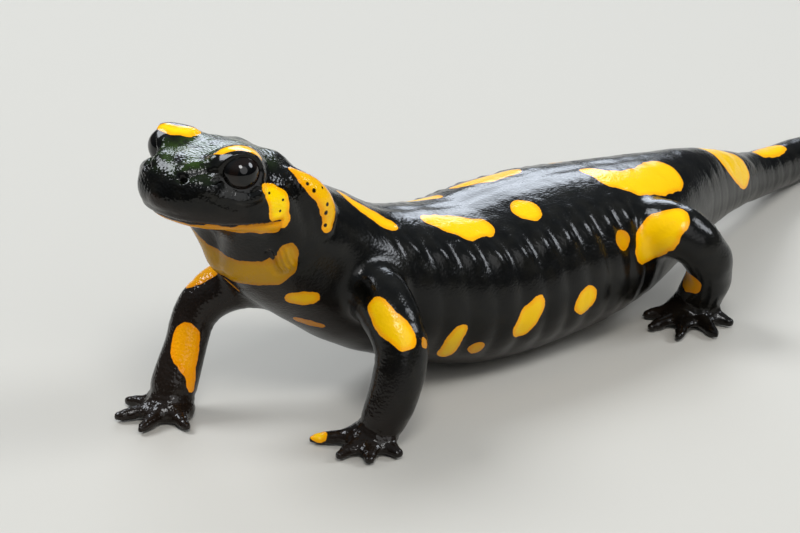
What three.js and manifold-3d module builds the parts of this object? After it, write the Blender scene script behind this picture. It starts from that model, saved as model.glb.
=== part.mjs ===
// Fire salamander (Salamandra salamandra), an adult at life size, standing on straight forelegs with its head up.
// Millimetres, +Z up. The head faces -Y, the animal's left is +X, and the origin is the middle of the belly's
// flat on the floor. The body is one continuous form, cut into the parts a person would name.
import * as THREE from "three";
import { mergeVertices } from "three/addons/utils/BufferGeometryUtils.js";
import Module from "manifold-3d";

const wasm = await Module();
wasm.setup();

// Driving dimensions
const cut = 0.3; // width of the cut between two pieces
const eyeRadius = 2.7;
const bodyCorners = 24; // corners of a body section
const limbCorners = 12; // corners of a limb section
const toeCorners = 6; // corners of a toe section

// Stations of the body, from the snout to the tip of the tail. x, y, z is the middle of the section, half its
// half width, up and down its height above and below the middle, and box how square it is (1 is an ellipse).
const stations = [
  { x: -5.0, y: -57.6, z: 35.0, half: 8.5, up: 3.9, down: 3.3, box: 0.86 }, // 0 snout
  { x: -5.0, y: -52.0, z: 34.7, half: 8.8, up: 4.9, down: 4.6, box: 0.84 }, // 1 front of the eyes
  { x: -5.0, y: -45.8, z: 33.6, half: 9.9, up: 5.9, down: 6.2, box: 0.86 }, // 2 corners of the mouth
  { x: -4.8, y: -40.4, z: 30.6, half: 10.1, up: 5.7, down: 9.6, box: 0.92 }, // 3 back of the head
  { x: -4.2, y: -36.2, z: 26.2, half: 10.1, up: 6.5, down: 11.0, box: 0.96 }, // 4 neck
  { x: -3.0, y: -31.6, z: 21.8, half: 9.9, up: 7.9, down: 10.6, box: 0.97 }, // 5
  { x: -1.6, y: -26.0, z: 17.6, half: 10.6, up: 8.5, down: 10.6, box: 0.96 }, // 6 shoulders
  { x: -0.6, y: -18.4, z: 14.4, half: 11.8, up: 9.5, down: 10.8, box: 0.95 }, // 7
  { x: 0.0, y: -9.8, z: 12.2, half: 13.2, up: 10.2, down: 11.9, box: 0.94 }, // 8
  { x: 0.2, y: 0.0, z: 11.2, half: 13.9, up: 11.3, down: 11.8, box: 0.94 }, // 9 middle of the belly
  { x: 0.5, y: 10.4, z: 11.0, half: 13.4, up: 10.9, down: 11.3, box: 0.94 }, // 10
  { x: 0.7, y: 20.4, z: 11.2, half: 11.4, up: 9.3, down: 10.5, box: 0.95 }, // 11 hips
  { x: -0.1, y: 30.2, z: 10.8, half: 8.4, up: 8.0, down: 8.6, box: 0.97 }, // 12 vent
  { x: -1.9, y: 40.0, z: 9.6, half: 5.9, up: 7.0, down: 6.4, box: 1 }, // 13 tail
  { x: -4.4, y: 50.2, z: 7.6, half: 4.4, up: 5.4, down: 4.2, box: 1 }, // 14
  { x: -7.2, y: 60.6, z: 5.4, half: 3.5, up: 3.8, down: 3.4, box: 1 }, // 15
  { x: -9.7, y: 71.0, z: 4.0, half: 3.1, up: 3.3, down: 3.5, box: 1 }, // 16
  { x: -11.3, y: 81.4, z: 3.0, half: 2.7, up: 2.9, down: 3.2, box: 1 }, // 17
  { x: -11.3, y: 93.0, z: 2.0, half: 2.0, up: 2.2, down: 2.2, box: 1 }, // 18
  { x: -8.8, y: 105.0, z: 1.1, half: 1.4, up: 1.5, down: 1.3, box: 1 }, // 19 tip of the tail
];
const lastStation = stations.length - 1;
const snoutRound = { half: 8.0, height: 3.4 }; // how far back the snout's rounding reaches, in plan and in profile
const tailRound = 3;

const position = ({ x, y, z }) => new THREE.Vector3(x, y, z);
const line = (rows) => new THREE.CatmullRomCurve3(rows.map(position), false, "centripetal");
const spine = line(stations);

// A smooth value of one field of a table, between its rows
function smooth(rows, field, s) {
  const i = Math.min(Math.floor(s), rows.length - 2);
  const value = (k) => rows[Math.min(Math.max(k, 0), rows.length - 1)][field];
  const [a, b, c, d, t] = [value(i - 1), value(i), value(i + 1), value(i + 2), s - i];
  return b + 0.5 * t * (c - a + t * (2 * a - 5 * b + 4 * c - d + t * (3 * (b - c) + d - a)));
}

// Height of a rounded end, from 0 at its tip to 1 where a rounding of length r ends
function blunt(distance, r) {
  const t = Math.min(Math.max(distance / r, 0), 1);
  return Math.sqrt(1 - (1 - t) ** 2);
}

// Middle of the body at station s, with the animal's left, up and back there
function bodyFrame(s) {
  const back = spine.getTangent(s / lastStation);
  const left = new THREE.Vector3().crossVectors(back, new THREE.Vector3(0, 0, 1)).normalize();
  const up = new THREE.Vector3().crossVectors(left, back).normalize();
  return { middle: spine.getPoint(s / lastStation), left, up, back };
}

// The section of the body at station s, grown outwards by a margin
function bodyRing(s, margin) {
  const { middle, left, up } = bodyFrame(s);
  const fromSnout = middle.distanceTo(position(stations[0]));
  const end = blunt(middle.distanceTo(position(stations[lastStation])), tailRound);
  const half = smooth(stations, "half", s) * blunt(fromSnout, snoutRound.half) * end + margin;
  const rise = blunt(fromSnout, snoutRound.height) * end;
  const top = smooth(stations, "up", s) * rise + margin;
  const bottom = smooth(stations, "down", s) * rise + margin;
  const box = smooth(stations, "box", s);
  return Array.from({ length: bodyCorners }, (_, k) => {
    const angle = (2 * Math.PI * k) / bodyCorners;
    const [c, n] = [Math.cos(angle), Math.sin(angle)];
    return middle
      .clone()
      .addScaledVector(left, half * Math.sign(n) * Math.abs(n) ** box)
      .addScaledVector(up, (c > 0 ? top : bottom) * Math.sign(c) * Math.abs(c) ** box);
  });
}

// A closed skin over rings of equal count, with a corner in the middle of each end
function skinOver(rings, first, last) {
  const count = rings[0].length;
  const points = [...rings.flat(), first, last];
  const [front, rear] = [points.length - 2, points.length - 1];
  const index = [];
  for (let k = 0; k < count; k++) {
    const next = (k + 1) % count;
    for (let r = 0; r + 1 < rings.length; r++) {
      const [a, b] = [r * count + k, r * count + next];
      index.push(a, b, b + count, a, b + count, a + count);
    }
    const end = (rings.length - 1) * count;
    index.push(front, next, k, rear, end + k, end + next);
  }
  const skin = new THREE.BufferGeometry().setFromPoints(points);
  skin.setIndex(index);
  return solid(skin);
}

// A three.js geometry as a manifold-3d solid with its faces pointing out
function solid(geometry) {
  const bare = geometry.clone();
  bare.deleteAttribute("normal");
  bare.deleteAttribute("uv");
  const merged = mergeVertices(bare, 1e-4);
  const triVerts = new Uint32Array(merged.index.array);
  const vertProperties = new Float32Array(merged.attributes.position.array);
  const made = new wasm.Manifold(new wasm.Mesh({ numProp: 3, vertProperties, triVerts }));
  if (made.volume() > 0) return made;
  for (let i = 0; i < triVerts.length; i += 3) {
    [triVerts[i + 1], triVerts[i + 2]] = [triVerts[i + 2], triVerts[i + 1]];
  }
  return new wasm.Manifold(new wasm.Mesh({ numProp: 3, vertProperties, triVerts }));
}

// A manifold-3d solid as a named mesh
function named(name, made, { color, roughness }) {
  const { numProp, vertProperties, triVerts, numVert } = made.getMesh();
  const corners = new Float32Array(numVert * 3);
  for (let i = 0; i < numVert; i++) {
    corners.set(vertProperties.subarray(i * numProp, i * numProp + 3), i * 3);
  }
  const geometry = new THREE.BufferGeometry();
  geometry.setAttribute("position", new THREE.BufferAttribute(corners, 3));
  geometry.setIndex(new THREE.BufferAttribute(new Uint32Array(triVerts), 1));
  geometry.computeVertexNormals();
  const mesh = new THREE.Mesh(geometry, new THREE.MeshStandardMaterial({ color, roughness, metalness: 0 }));
  mesh.name = name;
  return mesh;
}

const joined = (solids) => solids.reduce((sum, s) => sum.add(s));

// A length of the body between two stations, with flat ends
function bodyLength(from, to, perStation, margin = 0) {
  const steps = Math.max(2, Math.round((to - from) * perStation));
  const rings = Array.from({ length: steps + 1 }, (_, i) => bodyRing(from + ((to - from) * i) / steps, margin));
  return skinOver(rings, bodyFrame(from).middle, bodyFrame(to).middle);
}

// A station a given distance further back along the body
function further(s, distance) {
  return s + distance / bodyFrame(Math.floor(s)).middle.distanceTo(bodyFrame(Math.floor(s) + 1).middle);
}

// An ellipsoid set in the frame of the body: side and rise place it at a station, size is half its width,
// length and height, and turn swings its rear end outwards
function lump({ at, side, rise, size, turn = 0 }, margin = 0) {
  const { middle, left, up, back } = bodyFrame(at);
  const [half, length, height] = size.map((s) => s + margin);
  const ball = new THREE.SphereGeometry(1, 16, 8).scale(half, length, height).rotateZ(-turn);
  const place = new THREE.Matrix4().makeBasis(left, back, up);
  place.setPosition(middle.addScaledVector(left, side).addScaledVector(up, rise));
  return solid(ball.applyMatrix4(place));
}

const mirrored = (l, side) => ({ ...l, side: l.side * side, turn: (l.turn ?? 0) * side });
const pair = (l, margin) => joined([1, -1].map((side) => lump(mirrored(l, side), margin)));

// Everything under the floor, which flattens the belly, the tail and the soles
const [wide, deep] = [400, 40];
const floorCut = solid(new THREE.BoxGeometry(wide, wide, deep).translate(0, 0, -deep / 2));

// Head: the skull with its brows, swollen temples and parotoid glands, the sockets, and the lower jaw under it
const [noseEnd, headEnd] = [1.35, 3.5];
const eye = { at: 1.36, side: 6.5, rise: 3.5, size: [eyeRadius, eyeRadius, eyeRadius] };
const brow = { at: 1.45, side: 5.3, rise: 3.1, size: [3.4, 4.3, 3.6] };
const temple = { at: 2.5, side: 3.0, rise: 1.95, size: [3.8, 4.7, 4.25] };
const gland = { at: 3.05, side: 7.1, rise: 1.9, size: [3.2, 6.1, 3.5], turn: 0.04 };

function headForm() {
  const [noseSteps, backSteps] = [6, 7];
  const rings = [];
  for (let i = 0; i < noseSteps; i++) {
    const angle = ((i + 0.5) / noseSteps) * (Math.PI / 2);
    rings.push(bodyRing(noseEnd * (1 - Math.cos(angle)), 0));
  }
  for (let i = 0; i <= backSteps; i++) {
    rings.push(bodyRing(noseEnd + ((headEnd - noseEnd) * i) / backSteps, 0));
  }
  const skull = skinOver(rings, bodyFrame(0).middle, bodyFrame(headEnd).middle);
  return joined([skull, pair(brow), pair(temple), pair(gland)]);
}

// The space of the lower jaw: under the gape, from past the snout to behind the corners of the mouth
function jawSpace(raise) {
  const { middle, left, up, back } = bodyFrame(0);
  const gape = new THREE.Shape();
  gape.moveTo(-3, -2.5 + raise);
  gape.bezierCurveTo(3, -2.7 + raise, 8, -4.2 + raise, 13.4 + raise, -3.4 + raise);
  gape.bezierCurveTo(14.6 + raise, -4.4, 15 + raise, -6, 14.4 + raise, -20);
  gape.lineTo(-3, -20);
  const slab = new THREE.ExtrudeGeometry(gape, { depth: 30, bevelEnabled: false, curveSegments: 6 });
  const place = new THREE.Matrix4().makeBasis(back, up, left.clone().negate());
  place.setPosition(middle.addScaledVector(left, 15));
  return solid(slab.applyMatrix4(place));
}

const group = new THREE.Group();
const wetSkin = { color: 0x0c0c0a, roughness: 0.25 };
const darkEye = { color: 0x060405, roughness: 0.05 };

const wholeHead = headForm();
group.add(named("head", wholeHead.subtract(jawSpace(cut)).subtract(pair(eye, cut)), wetSkin));
group.add(named("lower_jaw", wholeHead.intersect(jawSpace(0)), wetSkin));
group.add(named("eye_left", lump(eye), darkEye));
group.add(named("eye_right", lump(mirrored(eye, -1)), darkEye));

// Neck, trunk and tail, as lengths of the one body
const lengths = [
  { name: "neck", from: headEnd, to: 5.4, perStation: 2.6 },
  { name: "trunk_front", from: 5.4, to: 9.3, perStation: 2.4 },
  { name: "trunk_rear", from: 9.3, to: 12.3, perStation: 2.3 },
  { name: "tail_base", from: 12.3, to: 14.6, perStation: 2.2 },
  { name: "tail_middle", from: 14.6, to: 17, perStation: 2.2 },
  { name: "tail_tip", from: 17, to: lastStation, perStation: 3.5 },
];
for (const { name, from, to, perStation } of lengths) {
  const piece = bodyLength(further(from, cut), to, perStation).subtract(floorCut);
  group.add(named(name, name === "neck" ? piece.subtract(pair(gland, cut)) : piece, wetSkin));
}

// Limbs: joints run from inside the trunk through the elbow or knee to the wrist or ankle, with the radius r
// there. The foot is a pad on the floor; heading turns it from straight ahead towards the animal's left, and
// each toe turns from there and reaches from the middle of the pad to its tip.
const limbs = [
  {
    name: "fore_left",
    joints: [
      { x: 3.6, y: -29.8, z: 18.0, r: 4.3 },
      { x: 9.6, y: -32.0, z: 17.4, r: 4.0 },
      { x: 14.2, y: -33.2, z: 13.2, r: 3.6 },
      { x: 14.7, y: -34.8, z: 8.0, r: 3.4 },
      { x: 14.0, y: -36.3, z: 3.8, r: 3.1 },
      { x: 13.4, y: -36.9, z: 2.2, r: 2.7 },
    ],
    pad: { x: 12.8, y: -37.4, heading: 22, size: [3.6, 3.5, 2.5] },
    toes: [{ turn: -72, reach: 8.2 }, { turn: -18, reach: 6.8 }, { turn: 22, reach: 6.6 }, { turn: 64, reach: 6.2 }],
  },
  {
    name: "fore_right",
    joints: [
      { x: -5.8, y: -34.8, z: 16.8, r: 4.0 },
      { x: -10.6, y: -39.0, z: 16.6, r: 3.7 },
      { x: -13.5, y: -43.1, z: 13.4, r: 3.1 },
      { x: -13.4, y: -45.8, z: 8.2, r: 2.9 },
      { x: -13.2, y: -48.0, z: 3.8, r: 3.2 },
      { x: -13.0, y: -48.8, z: 2.2, r: 2.9 },
    ],
    pad: { x: -12.7, y: -49.3, heading: -6, size: [3.7, 3.5, 2.5] },
    toes: [{ turn: 76, reach: 6.4 }, { turn: 22, reach: 7.4 }, { turn: -22, reach: 7.6 }, { turn: -68, reach: 7.0 }],
  },
  {
    name: "hind_left",
    joints: [
      { x: 4.0, y: 20.4, z: 12.0, r: 4.5 },
      { x: 10.6, y: 18.8, z: 14.0, r: 4.4 },
      { x: 16.2, y: 19.6, z: 14.4, r: 3.8 },
      { x: 18.0, y: 22.8, z: 9.7, r: 3.4 },
      { x: 15.2, y: 24.2, z: 4.2, r: 3.2 },
      { x: 14.0, y: 24.0, z: 2.4, r: 2.9 },
    ],
    pad: { x: 13.8, y: 23.7, heading: 36, size: [3.8, 4.0, 2.7] },
    toes: [
      { turn: -78, reach: 6.8 },
      { turn: -40, reach: 8.2 },
      { turn: -5, reach: 9.0 },
      { turn: 31, reach: 8.6 },
      { turn: 68, reach: 7.0 },
    ],
  },
  {
    name: "hind_right",
    joints: [
      { x: -3.0, y: 21.4, z: 12.0, r: 4.5 },
      { x: -9.4, y: 19.2, z: 12.8, r: 4.4 },
      { x: -15.0, y: 16.8, z: 12.2, r: 3.8 },
      { x: -18.6, y: 17.8, z: 8.6, r: 3.6 },
      { x: -18.6, y: 19.8, z: 4.2, r: 3.0 },
      { x: -18.4, y: 20.0, z: 2.4, r: 2.7 },
    ],
    pad: { x: -18.4, y: 19.7, heading: -44, size: [3.6, 4.0, 2.6] },
    toes: [
      { turn: 78, reach: 6.8 },
      { turn: 40, reach: 8.2 },
      { turn: 5, reach: 9.0 },
      { turn: -31, reach: 8.6 },
      { turn: -68, reach: 7.0 },
    ],
  },
];
const elbow = 2.35; // where along the joints the elbow or knee is cut

// A tube through rows of x, y, z and r, between two of them, carried along without twisting
function tube(rows, { corners, steps, from = 0, to = rows.length - 1, margin = 0 }) {
  const curve = line(rows);
  const share = (s) => s / (rows.length - 1);
  let side = new THREE.Vector3(0, 0, 1).cross(curve.getTangent(share(from))).normalize();
  const rings = Array.from({ length: steps + 1 }, (_, i) => {
    const s = from + ((to - from) * i) / steps;
    const [middle, along] = [curve.getPoint(share(s)), curve.getTangent(share(s))];
    const r = smooth(rows, "r", s) + margin;
    side = side.addScaledVector(along, -side.dot(along)).normalize();
    const other = new THREE.Vector3().crossVectors(along, side);
    return Array.from({ length: corners }, (_, k) => {
      const angle = (2 * Math.PI * k) / corners;
      return middle
        .clone()
        .addScaledVector(side, r * Math.cos(angle))
        .addScaledVector(other, r * Math.sin(angle));
    });
  });
  return skinOver(rings, curve.getPoint(share(from)), curve.getPoint(share(to)));
}

function padForm({ x, y, heading, size }, margin = 0) {
  const [half, length, height] = size.map((s) => s + margin);
  const ball = new THREE.SphereGeometry(1, 12, 8).rotateX(Math.PI / 2).scale(half, length, height);
  ball.rotateZ(THREE.MathUtils.degToRad(heading)).translate(x, y, 1.1);
  return solid(ball);
}

// A toe from the middle of the pad to its tip, its underside just under the floor's level
function toeForm({ x, y, heading }, { turn, reach }) {
  const angle = THREE.MathUtils.degToRad(heading + turn);
  const toePoint = (share, z, r) => ({
    x: x + Math.sin(angle) * reach * share,
    y: y - Math.cos(angle) * reach * share,
    z,
    r,
  });
  const rows = [
    toePoint(0, 1.2, 1.25),
    toePoint(0.4, 1.35, 1.15),
    toePoint(0.72, 0.9, 1.05),
    toePoint(0.92, 0.75, 0.9),
    toePoint(1, 0.6, 0.5),
  ];
  return tube(rows, { corners: toeCorners, steps: 5 });
}

const bodySpace = bodyLength(3, 14, 2.6, cut);
for (const { name, joints, pad, toes } of limbs) {
  const gap = cut / position(joints[2]).distanceTo(position(joints[3]));
  const thick = { corners: limbCorners, steps: 6, to: elbow };
  const upper = tube(joints, thick).subtract(bodySpace);
  const lower = tube(joints, { corners: limbCorners, steps: 5, from: elbow + gap })
    .subtract(tube(joints, { ...thick, to: elbow + gap / 2, margin: cut }))
    .subtract(padForm(pad, cut));
  const foot = joined([padForm(pad), ...toes.map((toe) => toeForm(pad, toe))]).subtract(floorCut);
  group.add(named(name + "_upper", upper, wetSkin));
  group.add(named(name + "_lower", lower, wetSkin));
  group.add(named(name + "_foot", foot, wetSkin));
}

export default group;
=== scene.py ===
# Fire salamander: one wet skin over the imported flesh, two eyes, a pale floor, soft light and the camera
import math

import bpy
import numpy as np
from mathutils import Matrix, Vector, noise
from mathutils.bvhtree import BVHTree


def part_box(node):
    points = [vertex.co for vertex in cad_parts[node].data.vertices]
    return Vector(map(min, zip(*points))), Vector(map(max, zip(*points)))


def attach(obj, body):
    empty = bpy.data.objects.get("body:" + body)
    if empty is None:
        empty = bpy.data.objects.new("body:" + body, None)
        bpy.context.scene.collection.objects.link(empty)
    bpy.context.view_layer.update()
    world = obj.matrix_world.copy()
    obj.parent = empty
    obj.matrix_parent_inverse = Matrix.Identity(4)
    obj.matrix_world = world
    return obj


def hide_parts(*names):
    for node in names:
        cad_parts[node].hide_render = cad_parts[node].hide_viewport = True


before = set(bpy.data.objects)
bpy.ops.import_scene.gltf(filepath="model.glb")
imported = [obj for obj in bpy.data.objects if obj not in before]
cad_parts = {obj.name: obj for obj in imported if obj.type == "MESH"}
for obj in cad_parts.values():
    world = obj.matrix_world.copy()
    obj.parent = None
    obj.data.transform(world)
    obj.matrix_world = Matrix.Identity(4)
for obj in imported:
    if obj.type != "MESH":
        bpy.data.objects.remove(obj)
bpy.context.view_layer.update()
mm = 0.001
eyeNodes = {"left": "eye_left", "right": "eye_right"}
bodyNodes = ["head", "neck", "trunk_front", "trunk_rear", "tail_base", "tail_middle", "tail_tip"]
fleshNodes = [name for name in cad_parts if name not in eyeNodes.values()]
limbNodes = [name for name in fleshNodes if name.startswith(("fore", "hind"))]
footNodes = [name for name in limbNodes if name.endswith("_foot")]


def deselectAll():
    bpy.ops.object.select_all(action="DESELECT")


def makeActive(thing):
    deselectAll()
    thing.select_set(True)
    bpy.context.view_layer.objects.active = thing


def applyModifier(thing, kind, **settings):
    modifier = thing.modifiers.new(kind.title(), kind)
    for key, value in settings.items():
        setattr(modifier, key, value)
    makeActive(thing)
    bpy.ops.object.modifier_apply(modifier=modifier.name)


# Vertex places or normals as rows, places in mm
def readRows(mesh, field="co"):
    values = np.empty(len(mesh.vertices) * 3)
    if field == "normal":
        mesh.vertex_normals.foreach_get("vector", values)
        return values.reshape(-1, 3)
    mesh.vertices.foreach_get("co", values)
    return values.reshape(-1, 3) / mm


def writePoints(mesh, points):
    mesh.vertices.foreach_set("co", (points * mm).ravel())
    mesh.update()


# 0 up to start, 1 from end, smooth between
def ramp(value, start, end):
    t = np.clip((value - start) / (end - start), 0, 1)
    return t * t * (3 - 2 * t)


# 1 at 0, falling softly to nothing at the width
def hump(value, width):
    return np.maximum(1 - (value / width) ** 2, 0) ** 2


# A rounded ridge in mm beside a line: its height, its distance from the line and its width to each side
def ridge(distance, height, at, width):
    return height * hump(distance - at, width)


def nodeBox(name):
    low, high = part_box(name)
    return np.array(low) / mm, np.array(high) / mm


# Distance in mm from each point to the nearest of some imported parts, measured out to a reach
def partDistance(points, names, reach):
    distance = np.full(len(points), float(reach))
    for name in names:
        low, high = nodeBox(name)
        near = np.all((points > low - reach) & (points < high + reach), axis=1)
        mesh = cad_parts[name].data
        corners = [vertex.co / mm for vertex in mesh.vertices]
        tree = BVHTree.FromPolygons(corners, [tuple(face.vertices) for face in mesh.polygons])
        for index in np.nonzero(near)[0]:
            found = tree.find_nearest(Vector(points[index]), reach)
            if found[0] is not None:
                distance[index] = min(distance[index], found[3])
    return distance


# Signed distance in mm to a chain of balls joined by tapering links, each row x, y, z and any radius
def chainDistance(points, chain):
    rows = np.array(chain, float)
    if rows.shape[1] == 3:
        rows = np.column_stack([rows, np.zeros(len(rows))])
    best = np.linalg.norm(points - rows[0, :3], axis=1) - rows[0, 3]
    for a, b in zip(rows[:-1], rows[1:]):
        along = b[:3] - a[:3]
        t = np.clip((points - a[:3]) @ along / (along @ along), 0, 1)
        nearest = a[:3] + t[:, None] * along
        away = np.linalg.norm(points - nearest, axis=1) - (a[3] + t * (b[3] - a[3]))
        best = np.minimum(best, away)
    return best


# The head's own frame: sideways to the animal's left, forward and up from midway between the eyes
eyeCentre = {side: sum(nodeBox(node)) / 2 for side, node in eyeNodes.items()}
eyeRadius = (nodeBox("eye_left")[1] - nodeBox("eye_left")[0])[2] / 2
headMiddle = (eyeCentre["left"] + eyeCentre["right"]) / 2
sign = {"left": 1, "right": -1}


def onHead(row, side):
    return (
        headMiddle[0] + sign[side] * row[0],
        headMiddle[1] - row[1],
        headMiddle[2] + row[2],
        *row[3:],
    )


def headChain(rows, side):
    return [onHead(row, side) for row in rows]


def behindEyes(points):
    return points[:, 1] - headMiddle[1]


def overEyes(points):
    return points[:, 2] - headMiddle[2]


# The lids start as a ball a little larger than the eye, and open round an axis that faces out and forward
lidMake = {
    "faces": (48, 24),  # round the ball and from pole to pole
    "thick": 0.5,  # mm over the eyeball
    "facing": (0.87, 0.44, 0.22),  # side, forward, up
    "along": {"left": 63, "right": 74},  # degrees from the facing to the lids' edge, forward and back
    "upright": 47,  # and up and down
    "edge": 8,  # degrees over which the edge turns in
    "tucked": 0.35,  # mm under the eyeball's surface, inside the opening
    "openReach": 1.5,  # mm round the lids that the opening may touch
    "slope": 0.05,  # mm for each degree, how fast the skin may rise past the edge
    "slopeReach": 2.2,
    "line": [
        (6.7, 4.0, 0.2),
        (7.0, 3.8, -0.7),
        (7.8, 3.1, -1.5),
        (8.5, 1.7, -2.0),
        (9.0, 0.2, -2.1),
        (9.2, -0.9, -1.9),
    ],  # the fold under the lower lid: side, forward, up
    "fold": (-0.24, 0, 0.4),  # ridges and furrows beside that line, in mm
    "bag": (0.14, 0.8, 0.7),
    "rim": (0.1, 0.4, 0.24),
}


def makeLid(side):
    deselectAll()
    segments, rings = lidMake["faces"]
    radius = (eyeRadius + lidMake["thick"]) * mm
    place = Vector(eyeCentre[side]) * mm
    bpy.ops.mesh.primitive_uv_sphere_add(segments=segments, ring_count=rings, radius=radius, location=place)
    bpy.ops.object.transform_apply(location=True)
    return bpy.context.object


# Degrees past the lids' edge, in the direction of each arm from the eye's centre
def pastLids(arm, away, side):
    out, forward, up = lidMake["facing"]
    facing = Vector((sign[side] * out, -forward, up)).normalized()
    along = facing.cross(Vector((0, 0, 1))).normalized()
    upright = along.cross(facing)
    unit = arm / away[:, None]
    angle = np.arctan2(unit @ np.array(upright), unit @ np.array(along))
    edge = 1 / np.hypot(np.cos(angle) / lidMake["along"][side], np.sin(angle) / lidMake["upright"])
    return np.degrees(np.arccos(np.clip(unit @ np.array(facing), -1, 1))) - edge


# Keeps the skin round each eye under a limit that depends on the degrees past the lids' edge
def pressRound(points, reach, limit):
    points = points.copy()
    for side in sign:
        arm = points - eyeCentre[side]
        away = np.linalg.norm(arm, axis=1)
        near = away < eyeRadius + lidMake["thick"] + reach
        most = np.minimum(away[near], limit(pastLids(arm[near], away[near], side)))
        points[near] = eyeCentre[side] + arm[near] * (most / away[near])[:, None]
    return points


# Distance in mm from each point to the nearer eye's lids
def fromLids(points):
    away = [np.linalg.norm(points - eyeCentre[side], axis=1) for side in sign]
    return np.minimum(*away) - eyeRadius - lidMake["thick"]


# Lets the skin run down to the lids
def pressOrbits(skin):
    def limit(turn):
        return eyeRadius + lidMake["thick"] + lidMake["slope"] * np.maximum(turn, 0)

    writePoints(skin.data, pressRound(readRows(skin.data), lidMake["slopeReach"], limit))


# Opens the lids: inside their edge the skin is tucked under the eyeball
def openLids(points):
    tucked, thick, edge = lidMake["tucked"], lidMake["thick"], lidMake["edge"]

    def limit(turn):
        most = eyeRadius - tucked + (tucked + thick) * ramp(turn, 0, edge)
        return np.where(turn > edge, np.inf, most)

    return pressRound(points, lidMake["openReach"], limit)


def lidHeight(points):
    height = np.zeros(len(points))
    for side in sign:
        line = chainDistance(points, headChain(lidMake["line"], side))
        for form in ("bag", "fold", "rim"):
            height += ridge(line, *lidMake[form])
    return height


# The skin starts as one mesh over all the flesh and the lids
skinMake = {
    "voxel": 0.54,  # mm, edge of a face
    "bridge": 0.24,  # mm, closes the cuts between the parts
    "weld": 0.01,  # mm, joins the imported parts' loose triangles
    "feet": (0.3, 2.5),  # mm round their boxes, smoothed least up to the first and as the body past the last
    "eyes": (0.6, 2.0),
    "head": (6, 12),  # mm behind the eyes
    "chin": -9,  # mm over the eyes
    "footTimes": 3,  # how often each region is smoothed
    "headTimes": 8,
    "bodyTimes": 90,
    "steps": (0.6, -0.61),  # share of the way to the neighbours' mean, there and back
}


def joinFlesh():
    lids = [makeLid(side) for side in sign]
    copies = []
    for name in fleshNodes:
        copy = bpy.data.objects.new(name + ".copy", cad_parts[name].data.copy())
        bpy.context.scene.collection.objects.link(copy)
        copies.append(copy)
    deselectAll()
    for copy in copies + lids:
        copy.select_set(True)
    bpy.context.view_layer.objects.active = copies[0]
    bpy.ops.object.join()
    skin = bpy.context.view_layer.objects.active
    skin.data.materials.clear()
    bpy.ops.object.mode_set(mode="EDIT")
    bpy.ops.mesh.select_all(action="SELECT")
    bpy.ops.mesh.remove_doubles(threshold=skinMake["weld"] * mm)
    bpy.ops.object.mode_set(mode="OBJECT")
    return skin


def keepLargest(skin):
    makeActive(skin)
    bpy.ops.object.mode_set(mode="EDIT")
    bpy.ops.mesh.separate(type="LOOSE")
    bpy.ops.object.mode_set(mode="OBJECT")
    shells = list(bpy.context.selected_objects)
    largest = max(shells, key=lambda shell: len(shell.data.vertices))
    for shell in shells:
        if shell is not largest:
            bpy.data.objects.remove(shell)
    largest.name = largest.data.name = "salamander_skin"
    return largest


# Moves each vertex towards its neighbours' mean, then almost as far back, so that little shrinks
def relax(mesh, times, weight):
    points = readRows(mesh)
    edges = np.empty(len(mesh.edges) * 2, int)
    mesh.edges.foreach_get("vertices", edges)
    a, b = edges.reshape(-1, 2).T
    count = np.bincount(edges, minlength=len(points))
    for turn in range(times * 2):
        step = skinMake["steps"][turn % 2]
        mean = np.empty_like(points)
        for axis in range(3):
            column = points[:, axis]
            mean[:, axis] = np.bincount(a, column[b], len(points)) + np.bincount(b, column[a], len(points))
        points += (mean / count[:, None] - points) * (step * weight)[:, None]
    writePoints(mesh, points)


# 1 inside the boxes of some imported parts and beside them, falling to 0 between two distances in mm
def nearBoxes(points, names, near, far):
    weight = np.zeros(len(points))
    for name in names:
        low, high = nodeBox(name)
        outside = np.maximum(np.maximum(low - points, points - high), 0).max(axis=1)
        weight = np.maximum(weight, 1 - ramp(outside, near, far))
    return weight


def growSkin():
    skin = joinFlesh()
    bridge, voxel = skinMake["bridge"] * mm, skinMake["voxel"] * mm
    applyModifier(skin, "DISPLACE", strength=bridge, mid_level=0, direction="NORMAL")
    applyModifier(skin, "REMESH", mode="VOXEL", voxel_size=voxel)
    skin = keepLargest(skin)
    applyModifier(skin, "DISPLACE", strength=-bridge, mid_level=0, direction="NORMAL")
    pressOrbits(skin)
    applyModifier(skin, "REMESH", mode="VOXEL", voxel_size=voxel)
    points = readRows(skin.data)
    feet = nearBoxes(points, footNodes, *skinMake["feet"])
    eyes = nearBoxes(points, eyeNodes.values(), *skinMake["eyes"])
    head = 1 - ramp(behindEyes(points), *skinMake["head"])
    head[overEyes(points) < skinMake["chin"]] = 0
    relax(skin.data, skinMake["footTimes"], np.maximum(feet, eyes))
    relax(skin.data, skinMake["headTimes"], (1 - feet) * (1 - eyes))
    relax(skin.data, skinMake["bodyTimes"], (1 - feet) * (1 - np.maximum(eyes, head)))
    return skin


# Halves the faces among the chosen vertices
def halveFaces(skin, fine):
    mesh = skin.data
    for vertex, chosen in zip(mesh.vertices, fine):
        vertex.select = bool(chosen)
    for edge in mesh.edges:
        edge.select = bool(fine[edge.vertices[0]] and fine[edge.vertices[1]])
    for face in mesh.polygons:
        face.select = all(fine[index] for index in face.vertices)
    makeActive(skin)
    bpy.ops.object.mode_set(mode="EDIT")
    bpy.ops.mesh.subdivide(number_cuts=1, smoothness=0, ngon=False, quadcorner="INNERVERT")
    bpy.ops.object.mode_set(mode="OBJECT")


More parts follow.
